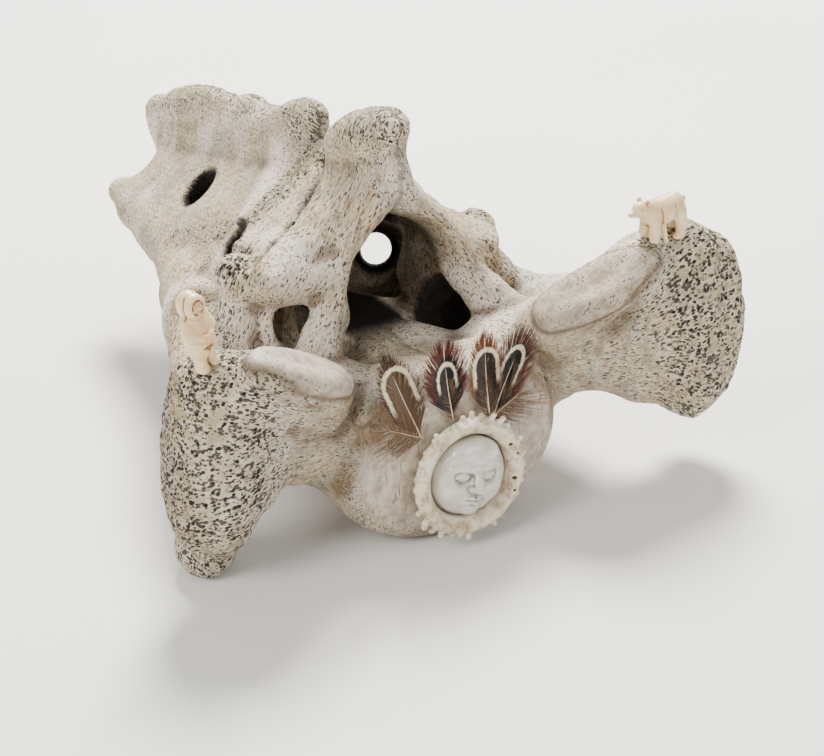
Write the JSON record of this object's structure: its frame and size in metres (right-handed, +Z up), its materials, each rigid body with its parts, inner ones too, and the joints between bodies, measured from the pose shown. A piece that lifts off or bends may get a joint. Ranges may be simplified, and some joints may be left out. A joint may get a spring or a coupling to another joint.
{
  "type": "decorated walrus sacrum",
  "caption": "Fused sacrum bone, probably of a walrus, with an antler mask, feathers and ivory figures fixed to it.",
  "frame": {"origin": "middle of the model's box in plan, on the surface it rests on", "axes": "+X towards the bone's right-hand wing in front view, +Y towards the bone's tail end, +Z up"},
  "size_m": [0.272, 0.3078, 0.1719],
  "materials": {
    "bone": "matte",
    "antler": "matte",
    "face_bone": "satin",
    "ivory": "satin",
    "feather": "matte"
  },
  "bodies": {
    "root": {"sacrum": "bone", "mask_burr": "antler", "mask_face": "face_bone", "feather_left": "feather", "feather_middle": "feather", "feather_inner_right": "feather", "feather_outer_right": "feather", "hunter_figure": "ivory", "bear_figure": "ivory"}
  },
  "joints": []
}
